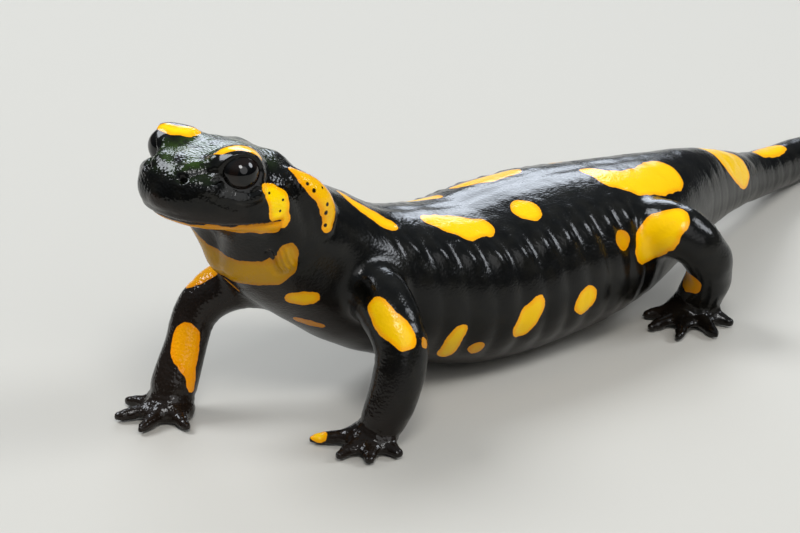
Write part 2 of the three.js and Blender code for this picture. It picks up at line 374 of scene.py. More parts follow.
# The head, the glands, the throat's fold and the feet need finer faces, the lids, pores and roll the finest
fineMake = {
    "feet": (0.3, 0.6),  # mm round their boxes
    "back": 5.5,  # mm behind the eyes
    "chin": -9.5,
    "gland": 1.2,  # mm round each form
    "fold": 3.2,
    "lid": 0.9,
    "pore": 0.8,
    "roll": 1.8,
    "softFeet": (0.3, 1.0),  # where the new faces are smoothed
    "softHead": (5, 8),
    "softTimes": 3,
    "softLid": (1.4, 3.0),
    "lidTimes": 24,
    "softEdge": (0.7, 1.2),
    "edgeTimes": 6,
}


def refine(skin):
    mesh = skin.data
    points = readRows(mesh)
    fine = nearBoxes(points, footNodes, *fineMake["feet"]) > 0.5
    fine |= (behindEyes(points) < fineMake["back"]) & (overEyes(points) > fineMake["chin"])
    for side in sign:
        fine |= chainDistance(points, headChain(headPatches["gland"], side)) < fineMake["gland"]
        fine |= chainDistance(points, throatChain("fold", side)) < fineMake["fold"]
    halveFaces(skin, fine)
    points = readRows(mesh)
    feet = nearBoxes(points, footNodes, *fineMake["softFeet"])
    head = 1 - ramp(behindEyes(points), *fineMake["softHead"])
    relax(mesh, fineMake["softTimes"], np.maximum(feet, head))
    relax(mesh, fineMake["lidTimes"], 1 - ramp(fromLids(readRows(mesh)), *fineMake["softLid"]))
    points = readRows(mesh)
    fine = fromLids(points) < fineMake["lid"]
    for side in sign:
        for pore in pores:
            fine |= fromHead(points, pore, side) < fineMake["pore"]
        fine |= chainDistance(points, throatChain("roll", side)) < fineMake["roll"]
    halveFaces(skin, fine)
    relax(mesh, fineMake["edgeTimes"], 1 - ramp(fromLids(readRows(mesh)), *fineMake["softEdge"]))


# Yellow patches and pores as chains of balls. On the head a row is side, forward, up and radius in mm
browPatch = {
    "left": [
        (4.2, 1.7, 2.6, 0.5), (5.0, 0.9, 3.0, 0.9), (6.0, -0.4, 3.1, 1.15), (6.9, -1.7, 2.5, 1.1),
        (7.4, -2.8, 1.5, 0.6),
    ],
    "right": [(6.4, 0.9, 2.9, 0.9), (4.8, 0.7, 3.0, 1.1), (3.8, -0.5, 2.6, 1.0), (4.2, -2.6, 2.0, 0.6)],
}
headPatches = {
    "cheek": [
        (9.1, -1.9, -2.0, 0.6), (9.5, -2.9, -2.8, 1.2), (9.9, -3.6, -3.9, 1.6), (9.9, -3.7, -4.9, 1.7),
        (9.8, -3.4, -5.5, 1.3),
    ],
    "corner": [(9.9, -4.6, -6.0, 0.7), (9.9, -5.0, -7.0, 0.6), (9.7, -4.7, -7.7, 0.55)],
    "gland": [
        (7.7, -7.9, -1.6, 0.5), (8.9, -8.7, -2.5, 1.1), (9.6, -9.9, -3.7, 1.5), (10.1, -11.1, -5.8, 1.6),
        (10.2, -11.9, -7.9, 1.6), (10.4, -11.5, -9.2, 1.0),
    ],
}
# Side, forward, up, and how many times the usual size
pores = [
    (9.5, -2.5, -2.7, 1.0),
    (9.9, -4.3, -4.0, 1.0),
    (9.9, -3.8, -5.4, 1.0),
    (9.4, -8.7, -3.2, 1.3),
    (9.8, -9.4, -4.2, 1.6),
    (9.7, -10.9, -4.4, 1.0),
    (10.1, -11.1, -6.3, 1.5),
    (10.1, -11.0, -7.3, 1.7),
    (9.8, -12.6, -7.6, 1.1),
    (10.4, -11.0, -9.1, 1.4),
]
# On the body a row is x, y, z and radius, in mm from the belly's rest
bodyPatches = {
    "throat": [
        (-9.8, -47.4, 28.6, 1.1), (-9.8, -47.2, 26.6, 1.5), (-8.8, -47.3, 24.5, 2.0),
        (-6.6, -47.3, 23.0, 2.2), (-3.0, -47.1, 22.7, 2.2), (-0.1, -46.3, 22.4, 2.3),
        (1.8, -44.9, 22.6, 2.3), (3.2, -43.6, 24.0, 2.1), (3.8, -43.4, 25.8, 1.6),
    ],
    "chest": [(2.2, -40.6, 18.5, 1.2), (3.0, -39.6, 18.4, 1.4), (3.5, -38.9, 18.4, 1.2)],
    "chestStreak": [(0.0, -38.0, 14.0, 0.6), (1.1, -36.9, 13.5, 0.7), (2.1, -35.8, 13.1, 0.5)],
    "farShoulder": [(-14.3, -43.3, 16.6, 1.3), (-13.3, -42.6, 18.0, 1.7), (-11.6, -42.2, 19.6, 1.5)],
    "farArmpit": [(-7.2, -45.0, 20.6, 0.9), (-5.8, -44.0, 18.6, 1.0)],
    "farForearm": [
        (-11.7, -47.0, 10.8, 1.9), (-11.4, -47.5, 8.6, 1.8), (-10.9, -47.4, 6.0, 1.0),
        (-10.4, -47.6, 4.2, 0.7),
    ],
    "shoulder": [
        (11.9, -35.4, 18.5, 1.3), (13.4, -35.6, 17.4, 1.9), (15.0, -35.4, 16.5, 2.0),
        (16.4, -34.9, 15.4, 1.6),
    ],
    "elbow": [(17.6, -31.9, 14.3, 0.8)],
    "thumb": [(8.0, -42.2, 1.7, 1.2)],
    "nape": [
        (-1.4, -29.0, 28.9, 0.5), (0.6, -29.0, 28.4, 0.9), (2.0, -28.3, 27.4, 1.3), (3.2, -26.4, 25.9, 1.5),
        (4.0, -25.0, 24.9, 1.2),
    ],
    "back": [
        (3.4, -17.4, 23.1, 1.2), (4.5, -15.4, 22.5, 2.1), (5.9, -13.2, 21.7, 2.5), (6.6, -10.8, 21.2, 1.9),
    ],
    "farBack": [(-6.4, -12.5, 21.4, 1.5), (-5.0, -8.9, 21.6, 1.9)],
    "farMiddle": [(-5.6, -2.5, 21.0, 1.3), (-4.2, 1.1, 21.9, 1.9), (-4.4, 5.6, 21.7, 2.2)],
    "middle": [(6.6, -2.1, 21.3, 2.2)],
    "rump": [
        (2.6, 15.2, 21.0, 1.6), (5.0, 16.2, 20.5, 2.4), (6.5, 19.0, 19.6, 2.8), (6.3, 23.4, 18.6, 3.1),
        (5.0, 27.6, 17.8, 3.1),
    ],
    "tailBase": [(-3.0, 45.8, 14.6, 1.9), (-1.4, 48.2, 13.2, 3.2), (-0.9, 51.4, 11.2, 3.3)],
    "thigh": [(13.2, 15.0, 13.0, 2.4), (15.0, 15.6, 15.3, 2.9), (16.4, 17.0, 17.2, 2.1)],
    "shank": [(15.6, 20.9, 6.8, 1.5), (16.9, 20.4, 7.4, 1.7)],
    "flankA": [(10.7, -18.7, 10.0, 1.1), (9.8, -19.2, 8.2, 1.5), (8.2, -19.0, 6.0, 1.2)],
    "flankB": [(10.2, -15.2, 6.3, 1.3)],
    "flankC": [(13.5, -7.0, 10.9, 1.5), (13.2, -8.1, 9.5, 2.0), (12.7, -9.0, 7.9, 1.6)],
    "flankD": [(13.9, 2.2, 9.0, 2.1)],
    "groin": [(12.9, 10.5, 15.2, 1.6)],
    "farNape": [(-6.4, -31.0, 27.0, 1.0), (-7.4, -28.0, 25.2, 1.5), (-8.0, -24.6, 23.2, 1.2)],
    "farHip": [(-5.6, 15.0, 20.4, 1.4), (-7.4, 18.6, 18.6, 2.3), (-7.0, 23.4, 17.6, 2.4)],
    "farTail": [(-3.4, 36.0, 15.4, 1.4), (-5.6, 38.6, 13.8, 2.0)],
    "farThigh": [(-13.4, 13.4, 12.6, 1.6), (-15.0, 13.6, 13.2, 2.2), (-16.8, 14.6, 13.2, 1.5)],
    "farShank": [(-21.4, 18.0, 7.4, 1.4), (-21.2, 19.0, 5.8, 1.1)],
    "farUpperArm": [(-9.0, -36.6, 20.0, 1.4), (-11.0, -37.0, 19.2, 1.1)],
    "farElbow": [(-16.2, -42.0, 12.8, 1.5), (-16.0, -43.4, 10.6, 1.1)],
    "farFlankA": [(-12.6, -17.6, 9.6, 1.4), (-12.0, -16.6, 7.6, 1.0)],
    "farFlankB": [(-13.6, -7.2, 13.2, 1.3), (-14.0, -5.4, 11.2, 1.8), (-13.8, -4.2, 9.4, 1.2)],
    "farFlankC": [(-14.2, 4.4, 8.6, 1.6)],
    "farFlankD": [(-12.8, 9.6, 14.4, 1.2), (-12.6, 11.2, 12.6, 1.5)],
    "tailSide": [(0.6, 57.0, 8.6, 1.2), (-0.6, 60.4, 7.4, 1.4)],
    "tailBack": [(-7.0, 63.0, 8.6, 1.3), (-8.2, 66.6, 7.9, 1.7), (-9.0, 69.6, 7.4, 1.2)],
    "tailEnd": [(-8.0, 77.0, 5.4, 1.4), (-8.6, 79.8, 4.6, 1.1)],
    "farTailMiddle": [(-10.4, 56.0, 8.0, 1.3), (-11.4, 59.0, 6.6, 1.6)],
    "farTailEnd": [(-13.8, 84.0, 4.2, 1.2), (-13.2, 87.2, 4.0, 1.4)],
    "tailTip": [(-9.6, 95.4, 4.2, 1.0), (-9.4, 97.6, 3.6, 0.8)],
}

# How orange a patch is and how far it is darkened towards ochre, where it isn't plain yellow. The darkening is
# painted shade on patches that lie in shade, as on the throat, armpit, groin, shank and elbow, and partly the
# patches' own deeper tone
plainTone = (0.3, 0.0)
patchTone = {
    "brow": (0.15, 0.0),
    "cheek": (0.1, 0.0),
    "corner": (0.35, 0.0),
    "gland": (0.45, 0.08),
    "lip": (0.55, 0.35),
    "throat": (0.4, 0.7),
    "chest": (0.4, 0.2),
    "chestStreak": (0.8, 0.5),
    "farArmpit": (0.7, 0.4),
    "farShoulder": (0.7, 0.0),
    "farForearm": (0.75, 0.0),
    "elbow": (0.6, 0.5),
    "shank": (0.7, 0.5),
    "groin": (0.6, 0.45),
    "flankB": (0.5, 0.35),
    "farNape": (0.5, 0.1),
}


bodyMake = {"ends": 1.5, "step": 3.0, "slice": 2.6}  # mm off each end, apart and to each side


# Angle round the body and distance from its middle line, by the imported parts' width and height at each place
def measureBody(points):
    cloud = np.concatenate([readRows(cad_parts[name].data) for name in bodyNodes])
    length = cloud[:, 1]
    places = np.arange(length.min() + bodyMake["ends"], length.max() - bodyMake["ends"], bodyMake["step"])
    rows = []
    for place in places:
        near = cloud[abs(length - place) < bodyMake["slice"]]
        low, high = near.min(axis=0), near.max(axis=0)
        rows.append(((low[0] + high[0]) / 2, (high[0] - low[0]) / 2, low[2], high[2]))
    columns = np.array(rows).T
    middle, half, under, top = [np.interp(points[:, 1], places, column) for column in columns]
    across = (points[:, 0] - middle) / half
    height = (points[:, 2] - (under + top) / 2) / ((top - under) / 2)
    angle = np.degrees(np.arctan2(abs(across), height))  # 0 on the back, 90 on the flank, 180 below
    return {"angle": angle, "across": points[:, 0] - middle}


# Distance in mm to a place on the head
def fromHead(points, row, side):
    return np.linalg.norm(points - np.array(onHead(row, side)[:3]), axis=1)


# Lines on the snout, as side, forward and up, each with its ridge's or furrow's height, distance and width
snoutMake = {
    "ridge": {"rows": [(2.4, 5.6, 0.8), (3.0, 4.4, 1.3), (4.4, 2.6, 2.1)], "form": (0.34, 0, 1.3)},
    "furrow": {
        "rows": [(2.6, 6.4, -0.5), (3.9, 5.8, 0.1), (4.9, 4.4, 0.6), (5.6, 3.3, 0.6)],
        "form": (-0.32, 0, 0.8),
    },
    "cheek": {
        "rows": [(6.4, 4.8, -1.0), (7.4, 3.9, -1.8), (8.3, 2.5, -2.7), (9.0, 0.8, -3.2), (9.3, -1.1, -3.0)],
        "form": (0.3, 0, 1.2),
    },
    "lip": {"rows": [(0.0, 8.2, -3.2), (2.9, 7.8, -3.4), (4.1, 7.2, -2.8)], "form": (0.2, 0, 2.0)},
}
nostrilMake = {"place": (3.3, 6.6, -0.2), "hole": (-1.1, 0, 0.624), "rim": (0.06, 0.816, 0.6)}


def snoutHeight(points):
    height = np.zeros(len(points))
    for side in sign:
        for line in snoutMake.values():
            height += ridge(chainDistance(points, headChain(line["rows"], side)), *line["form"])
        away = fromHead(points, nostrilMake["place"], side)
        height += ridge(away, *nostrilMake["rim"]) + ridge(away, *nostrilMake["hole"])
    return height


farAway = 9.0  # mm, for what is too far from a mark to matter
mouthMake = {
    "line": (-0.42, 0, 0.42),
    "lowerLip": (0.14, 0.9, 0.8),
    "upperLip": (0.14, -0.8, 0.8),
    "back": 8,  # mm behind the eyes that are measured
    "chin": -10,  # mm over the eyes
    "corner": (3.8, 4.7),  # mm behind the eyes, where the line ends
    "fade": (-9.5, -8.5),
    "reach": 3,
}


# The mouth's line runs where the skin is as far from the jaw as from the head
def mouthHeight(points):
    near = (behindEyes(points) < mouthMake["back"]) & (overEyes(points) > mouthMake["chin"])
    fromSkull = partDistance(points[near], ["head"], mouthMake["reach"])
    fromJaw = partDistance(points[near], ["lower_jaw"], mouthMake["reach"])
    line = np.full(len(points), farAway)
    line[near] = fromSkull - fromJaw
    height = sum(ridge(line, *mouthMake[form]) for form in ("line", "lowerLip", "upperLip"))
    height *= 1 - ramp(behindEyes(points), *mouthMake["corner"])
    return height * ramp(overEyes(points), *mouthMake["fade"]), line


# The throat's rows are x, y, z and radius on the left, the crease's are side, forward and up on the head
neckMake = {
    "pouch": [(-1.6, -46.9, 28.2), (-2.2, -46.9, 25.6), (-3.4, -46.2, 23.2)],  # the full skin of the throat
    "pouchForm": (0.85, 0, 4.2),
    "roll": [(3.5, -44.0, 25.6), (3.5, -43.3, 24.3)],  # the swollen end of the throat's fold
    "rollHeight": 0.6,
    "rollRadius": 1.9,
    "wrinkle": 0.7,  # mm between its wrinkles
    "wrinkleHeight": 0.12,
    "fold": [(2.6, -45.2, 25.9), (2.6, -45.0, 25.3), (2.5, -44.6, 24.4), (2.6, -43.9, 23.3)],
    "foldForm": (-0.4, 0, 1.0),
    "wedge": [(2.8, -45.4, 26.9, 0.7), (2.6, -45.1, 25.6, 0.4), (2.5, -44.7, 24.6, 0.05)],  # black skin in it
    "crease": [(9.6, -6.2, -3.0), (9.9, -7.4, -6.0), (9.6, -8.6, -9.5), (8.4, -7.6, -12.5)],
    "creaseForm": (-0.35, 0, 1.1),
    "glandHeight": 0.35,
    "glandEdge": (0.6, -0.9),  # mm out from its patch, from flat to full height
    "glandFurrow": (-0.12, 0.9, 0.7),
}


# A chain at the throat, mirrored for the right side
def throatChain(key, side):
    rows = neckMake[key]
    return [(row[0] if side == "left" else 2 * headMiddle[0] - row[0], *row[1:]) for row in rows]


def neckHeight(points):
    pouch = np.minimum(*[chainDistance(points, throatChain("pouch", side)) for side in sign])
    height = ridge(pouch, *neckMake["pouchForm"])
    for side in sign:
        roll = hump(chainDistance(points, throatChain("roll", side)), neckMake["rollRadius"])
        fold = chainDistance(points, throatChain("fold", side))
        wrinkle = np.cos(2 * math.pi * fold / neckMake["wrinkle"])
        height += roll * (neckMake["rollHeight"] + neckMake["wrinkleHeight"] * wrinkle)
        height += ridge(fold, *neckMake["foldForm"])
        crease = chainDistance(points, headChain(neckMake["crease"], side))
        height += ridge(crease, *neckMake["creaseForm"])
        gland = chainDistance(points, headChain(headPatches["gland"], side))
        height += neckMake["glandHeight"] * ramp(gland, *neckMake["glandEdge"])
        height += ridge(gland, *neckMake["glandFurrow"])
    return height


# Ribs show as bulges between upright furrows, with glands that stand high on the flank. Lengths are in mm
ribMake = {
    "first": -24.1,
    "pitch": 4.12,
    "count": 11,
    "fadeIn": (-1, -0.3),  # pitches before the first rib
    "lean": 0.012,  # for each degree round the body from the upright
    "upright": 50,
    "side": [(30, 46), (150, 120)],  # degrees round the body where the bulges rise and end
    "bulge": 0.1,
    "furrow": (-0.08, 0, 0.75),
    "glandAngle": 52,
    "girth": 12.5,  # radius that turns degrees into a length
    "gland": (0.38, 0, 1.75),
    "glandSpread": 0.6,  # below 1 draws the gland out upright
    "upperGland": (0.2, 0, 1.2),
    "upperGlandRise": 3.2,
}
tailMake = {"pitch": 3.1, "ring": (-0.06, 0, 0.6), "along": [(34, 40), (100, 84)], "side": (25, 50)}


def ribHeight(points, body):
    first, pitch = ribMake["first"], ribMake["pitch"]
    along, angle = points[:, 1], body["angle"]
    start, end = [first + pitch * share for share in ribMake["fadeIn"]]
    last = first + pitch * (ribMake["count"] - 1)
    reach = ramp(along, start, end) * ramp(along, last + pitch, last)
    turns = (along - first - ribMake["lean"] * (angle - ribMake["upright"])) / pitch
    fromRib = (turns - np.round(turns)) * pitch
    side = ramp(angle, *ribMake["side"][0]) * ramp(angle, *ribMake["side"][1])
    height = ribMake["bulge"] * np.cos(2 * math.pi * turns) * side
    height += ridge(pitch / 2 - abs(fromRib), *ribMake["furrow"]) * side
    arc = np.radians(angle - ribMake["glandAngle"]) * ribMake["girth"]
    height += ridge(np.hypot(fromRib, arc * ribMake["glandSpread"]), *ribMake["gland"])
    height += ridge(np.hypot(fromRib, arc + ribMake["upperGlandRise"]), *ribMake["upperGland"])
    return height * reach


def tailHeight(points, body):
    along = points[:, 1]
    fromRing = abs((along / tailMake["pitch"]) % 1 - 0.5) * tailMake["pitch"]
    reach = ramp(along, *tailMake["along"][0]) * ramp(along, *tailMake["along"][1])
    return ridge(fromRing, *tailMake["ring"]) * reach * ramp(body["angle"], *tailMake["side"])


# A groove along the middle of the back, between two rows of raised pores on each side
backMake = {
    "groove": (-0.12, 0, 1.3),
    "pimple": (0.06, 0, 0.85),
    "pitch": 2.06,
    "rows": (3.2, 5.6),  # mm from the middle
    "along": [(-30, -24), (36, 26)],
    "side": (70, 50),
}


def backHeight(points, body):
    along = points[:, 1]
    height = ridge(body["across"], *backMake["groove"])
    fromPore = ((along / backMake["pitch"]) % 1 - 0.5) * backMake["pitch"]
    for row in backMake["rows"]:
        height += ridge(np.hypot(fromPore, abs(body["across"]) - row), *backMake["pimple"])
    reach = ramp(along, *backMake["along"][0]) * ramp(along, *backMake["along"][1])
    return height * reach * ramp(body["angle"], *backMake["side"])


limbMake = {
    "wrinkle": 0.05,  # mm high
    "pitch": 1.15,
    "depth": 0.4,  # how far the wrinkles lie under the skin's level, as a share of their height
    "reach": 1.9,
    "own": 0.6,  # mm, the skin of that leg
    "near": (0.4, 0.5),
    "measured": 6,  # mm out from each part
    "ribs": (0.32, 1.6),  # mm from a leg over which the ribs come in
}


# Skin wrinkles across each joint, where the parts on its two sides are about as near
def limbHeight(points):
    height = np.zeros(len(points))
    for leg in ("fore_left", "fore_right", "hind_left", "hind_right"):
        parts = [leg + part for part in ("_upper", "_lower", "_foot")]
        near = nearBoxes(points, parts, *limbMake["near"]) > 0.5
        upper, lower, foot = [partDistance(points[near], [part], limbMake["measured"]) for part in parts]
        mine = np.minimum(np.minimum(upper, lower), foot) < limbMake["own"]
        for along in (upper - lower, lower - foot):
            fold = np.cos(2 * math.pi * along / limbMake["pitch"]) - limbMake["depth"]
            height[near] += mine * limbMake["wrinkle"] * fold * hump(along, limbMake["reach"])
    return height


roughMake = {"coarse": (3.4, 0.08), "fine": (1.3, 0.022)}  # mm across and high, unevenness of soft skin


def unevenness(points):
    height = np.zeros(len(points))
    for size, amount in roughMake.values():
        height += amount * np.array([noise.noise(Vector(point / size)) for point in points])
    return height


def shapeSkin(skin):
    points = readRows(skin.data)
    normals = readRows(skin.data, "normal")
    body = measureBody(points)
    mouth, line = mouthHeight(points)
    fromLegs = partDistance(points, limbNodes, limbMake["ribs"][1])
    trunk = ribHeight(points, body) + tailHeight(points, body) + backHeight(points, body)
    height = mouth + snoutHeight(points) + lidHeight(points) + neckHeight(points)
    height += trunk * ramp(fromLegs, *limbMake["ribs"])
    height += limbHeight(points) + unevenness(points)
    points = openLids(points + normals * height[:, None])
    points[:, 2] = np.maximum(points[:, 2], 0)
    writePoints(skin.data, points)
    return points, body, line


def keepValue(mesh, name, values):
    mesh.attributes.new(name, "FLOAT", "POINT").data.foreach_set("value", values.astype(np.float32))


lipMake = {
    "front": (0.8, 0.4),  # mm from the mouth's line to the stripe's middle, and half its width
    "corner": (1.05, 0.95),
    "from": 5.5,  # mm before the eyes
    "back": -4.4,
    "lowest": -8.5,  # mm over the eyes, under the corner
    "drop": (2, -3, 0),  # and how much lower the front may reach, from and to there
    "throat": -10.5,
}


# Distance in mm to the yellow stripe on the lower lip, which follows the mouth's line to its corner
def lipDistance(points, line):
    forward, up = -behindEyes(points), overEyes(points)
    share = ramp(forward, lipMake["back"], lipMake["from"])
    middle, half = [
        corner + (front - corner) * share for front, corner in zip(lipMake["front"], lipMake["corner"])
    ]
    drop, start, end = lipMake["drop"]
    lowest = lipMake["lowest"] - drop * ramp(forward, start, end)
    away = np.maximum(abs(line - middle) - half, lipMake["back"] - forward)
    return np.where(up > lipMake["throat"], np.maximum(away, lowest - up), farAway)


# Each patch but the stripe on the lip, as a chain and its tone
def everyPatch():
    for side in sign:
        for name, rows in {"brow": browPatch[side], **headPatches}.items():
            yield headChain(rows, side), patchTone[name]
    for name, chain in bodyPatches.items():
        yield chain, patchTone.get(name, plainTone)


# Distance in mm to the nearest patch, and its tone, whose darkening towards ochre is partly painted shade. The
# stripe on the lip is one of them
def markPatches(skin, points, line):
    distance = lipDistance(points, line)
    warmth, shadeOchre = [np.full(len(points), value) for value in patchTone["lip"]]
    for chain, tone in everyPatch():
        away = chainDistance(points, chain)
        nearer = away < distance
        distance[nearer] = away[nearer]
        warmth[nearer], shadeOchre[nearer] = tone
    for side in sign:
        distance = np.maximum(distance, -chainDistance(points, throatChain("wedge", side)))
    keepValue(skin.data, "patchDistance", distance)
    keepValue(skin.data, "patchWarmth", warmth)
    keepValue(skin.data, "patchShadeOchre", shadeOchre)


# Each pore's middle is the vertex nearest to its place
def markPores(skin, points):
    distance = np.full(len(points), farAway)
    for side in sign:
        for pore in pores:
            centre = points[np.argmin(fromHead(points, pore, side))]
            distance = np.minimum(distance, np.linalg.norm(points - centre, axis=1) / pore[3])
    keepValue(skin.data, "poreDistance", distance)


# From nothing to full: in mm behind the eyes, over them or past the lids, or in the normal's upward part
markMake = {
    "belly": (105, 150),  # degrees round the body
    "crownBack": (20, 10),
    "crownHeight": (-1.2, 1.6),
    "crownLids": (0.4, 1.1),
    "crownFacing": (0.5, 0.85),
    "head": (16, 6),
    "headWet": (-0.35, 0.35),  # the whole head is wet, the body only where it faces up
    "bodyWet": (0.3, 0.65),
    "bodyWetness": 0.6,
    "granularFacing": (-0.1, 0.5),
    "granularLids": (0.1, 0.9),
    "granularUnder": 0.5,
    "granularBody": 0.4,
}


# How green the up-facing crown is, partly a painted reflection of green surroundings, how wet and granular the
# skin is, and how brown the belly
def markTints(skin, points, body):
    up = readRows(skin.data, "normal")[:, 2]
    lids = fromLids(points)
    crown = ramp(behindEyes(points), *markMake["crownBack"])
    crown *= ramp(overEyes(points), *markMake["crownHeight"])
    # The crown is green only where it faces up: partly a painted reflection of green surroundings
    crown *= ramp(lids, *markMake["crownLids"]) * ramp(up, *markMake["crownFacing"])
    head = ramp(behindEyes(points), *markMake["head"])
    start, end = [
        trunk + (skull - trunk) * head for trunk, skull in zip(markMake["bodyWet"], markMake["headWet"])
    ]
    least = markMake["bodyWetness"]
    wet = ramp(up, start, end) * (least + (1 - least) * head)
    least = markMake["granularUnder"]
    granular = least + (1 - least) * ramp(up, *markMake["granularFacing"])
    least = markMake["granularBody"]
    granular *= ramp(lids, *markMake["granularLids"]) * (least + (1 - least) * head)
    keepValue(skin.data, "belly", ramp(body["angle"], *markMake["belly"]))
    keepValue(skin.data, "crown", crown)
    keepValue(skin.data, "wet", wet)
    keepValue(skin.data, "granular", granular)


skin = growSkin()
refine(skin)
print("skin grown:", len(skin.data.polygons), "faces")
points, body, line = shapeSkin(skin)
print("skin shaped")
markPatches(skin, points, line)
markPores(skin, points)
markTints(skin, points, body)
print("skin marked")


# Linear colour from an sRGB hex code
def srgb(code):
    def one(value):
        return value / 12.92 if value <= 0.04045 else ((value + 0.055) / 1.055) ** 2.4

    return tuple(one(int(code[i : i + 2], 16) / 255) for i in (1, 3, 5)) + (1.0,)


# Adds a node with its settings and its sockets' values or links, and gives one of its outputs
def addNode(tree, kind, settings, inputs, output=0):
    node = tree.nodes.new("ShaderNode" + kind)
    for key, value in settings.items():
        setattr(node, key, value)
    for key, value in inputs.items():
        if isinstance(value, bpy.types.NodeSocket):
            tree.links.new(value, node.inputs[key])
        else:
            node.inputs[key].default_value = value
    return node.outputs[output]


soft = {"interpolation_type": "SMOOTHSTEP"}
blend = {"data_type": "RGBA"}
skinLook = {
    "black": "#050504",
    "blackLight": "#100F0B",
    # green mixed into the crown: partly its own tint, partly a painted reflection of green surroundings on the
    # up-facing skin
    "oliveTintAndReflection": "#293C11",
    "bellyBrown": "#1C1510",
    "yellow": "#FFDA00",
    "yellowEdge": "#FFB200",
    "orange": "#F28C00",
    # dark ochre mixed into patches: painted shade where they lie in shade, partly their own deeper tone
    "shadeOchre": "#7A5200",
    "pore": "#140C02",
    "wander": (2.6, 0.42),  # mm across and mm that an edge wanders, coarse
    "ripple": (0.6, 0.1),  # and fine
    "edge": 0.05,  # mm, half the softness of a patch's or a pore's edge
    "border": 0.9,  # mm of edge colour inside a patch
    "poreRadius": 0.19,
    "blotch": 2.2,
    "blotchLight": (0.4, 0.7),  # shares of the blotches' noise
    "blotchGreen": (0.68, 0.42),
    "granule": 0.36,  # mm, glands of the skin, a little coarser than real so that they show
    "granuleHeight": 0.07,
    "grain": 0.22,
    "grainHeight": 0.015,
    "film": 1.1,
    "filmSpread": (0.3, 0.7),
    "wetRoughness": (0.06, 0.14),
    "dryRoughness": 0.26,
    "ior": 1.34,  # mostly water
}


# Yellow that is purest inside a patch, warmer in some and darkened towards ochre in others, which is painted
# shade where they lie in shade and partly their own deeper tone, with dark pores
def patchColour(tree, place, colours):
    edge = addNode(tree, "Attribute", {"attribute_name": "patchDistance"}, {}, "Fac")
    for size, reach in (skinLook["wander"], skinLook["ripple"]):
        cloud = {"Vector": place, "Scale": 1 / (size * mm), "Detail": 1.0}
        cloud = addNode(tree, "TexNoise", {}, cloud, "Fac")
        centred = addNode(tree, "Math", {"operation": "SUBTRACT"}, {0: cloud, 1: 0.5})
        moved = addNode(tree, "Math", {"operation": "MULTIPLY"}, {0: centred, 1: reach * 2})
        edge = addNode(tree, "Math", {"operation": "ADD"}, {0: edge, 1: moved})
    limit, border, radius = skinLook["edge"], skinLook["border"], skinLook["poreRadius"]
    patch = addNode(tree, "MapRange", soft, {"Value": edge, "From Min": limit, "From Max": -limit})
    inside = addNode(tree, "MapRange", soft, {"Value": edge, "From Min": 0.0, "From Max": -border})
    warmth = addNode(tree, "Attribute", {"attribute_name": "patchWarmth"}, {}, "Fac")
    shadeOchre = addNode(tree, "Attribute", {"attribute_name": "patchShadeOchre"}, {}, "Fac")
    pore = addNode(tree, "Attribute", {"attribute_name": "poreDistance"}, {}, "Fac")
    pore = {"Value": pore, "From Min": radius + limit, "From Max": radius - limit}
    pore = addNode(tree, "MapRange", soft, pore)
    yellow = addNode(tree, "Mix", blend, {0: inside, 6: colours["yellowEdge"], 7: colours["yellow"]}, 2)
    for share, colour in ((warmth, "orange"), (shadeOchre, "shadeOchre"), (pore, "pore")):
        yellow = addNode(tree, "Mix", blend, {0: share, 6: yellow, 7: colours[colour]}, 2)
    return patch, yellow


# Black in faint blotches, green between them on the crown, partly a painted reflection of green surroundings
# where it faces up, and brown on the belly
def groundColour(tree, place, colours):
    blotch = {"Vector": place, "Scale": 1 / (skinLook["blotch"] * mm), "Detail": 3.0}
    blotch = addNode(tree, "TexNoise", {}, blotch, "Fac")
    shares = []
    for start, end in (skinLook["blotchLight"], skinLook["blotchGreen"]):
        shares.append(addNode(tree, "MapRange", soft, {"Value": blotch, "From Min": start, "From Max": end}))
    crown = addNode(tree, "Attribute", {"attribute_name": "crown"}, {}, "Fac")
    green = addNode(tree, "Math", {"operation": "MULTIPLY"}, {0: shares[1], 1: crown})
    belly = addNode(tree, "Attribute", {"attribute_name": "belly"}, {}, "Fac")
    ground = colours["black"]
    for share, colour in ((shares[0], "blackLight"), (green, "oliveTintAndReflection"), (belly, "bellyBrown")):
        ground = addNode(tree, "Mix", blend, {0: share, 6: ground, 7: colours[colour]}, 2)
    return ground


# The wet film lies smoothest where the skin faces up and on the head, and never quite evenly
def filmRoughness(tree, place):
    film = {"Vector": place, "Scale": 1 / (skinLook["film"] * mm), "Detail": 3.0}
    film = addNode(tree, "TexNoise", {}, film, "Fac")
    (low, high), (smooth, rough) = skinLook["filmSpread"], skinLook["wetRoughness"]
    film = {"Value": film, "From Min": low, "From Max": high, "To Min": smooth, "To Max": rough}
    film = addNode(tree, "MapRange", soft, film)
    wet = addNode(tree, "Attribute", {"attribute_name": "wet"}, {}, "Fac")
    return addNode(tree, "Mix", {"data_type": "FLOAT"}, {0: wet, 2: skinLook["dryRoughness"], 3: film})


# Rounded granules with a finer grain over them
def granuleRelief(tree, place):
    cells = {"Vector": place, "Scale": 1 / (skinLook["granule"] * mm)}
    cells = addNode(tree, "TexVoronoi", {"feature": "SMOOTH_F1"}, cells, "Distance")
    granular = addNode(tree, "Attribute", {"attribute_name": "granular"}, {}, "Fac")
    lumps = {"Height": cells, "Distance": skinLook["granuleHeight"] * mm, "Strength": granular}
    lumps = addNode(tree, "Bump", {"invert": True}, lumps, "Normal")
    grain = {"Vector": place, "Scale": 1 / (skinLook["grain"] * mm), "Detail": 3.0}
    grain = addNode(tree, "TexNoise", {}, grain, "Fac")
    fine = {"Height": grain, "Distance": skinLook["grainHeight"] * mm, "Normal": lumps}
    return addNode(tree, "Bump", {}, fine, "Normal")


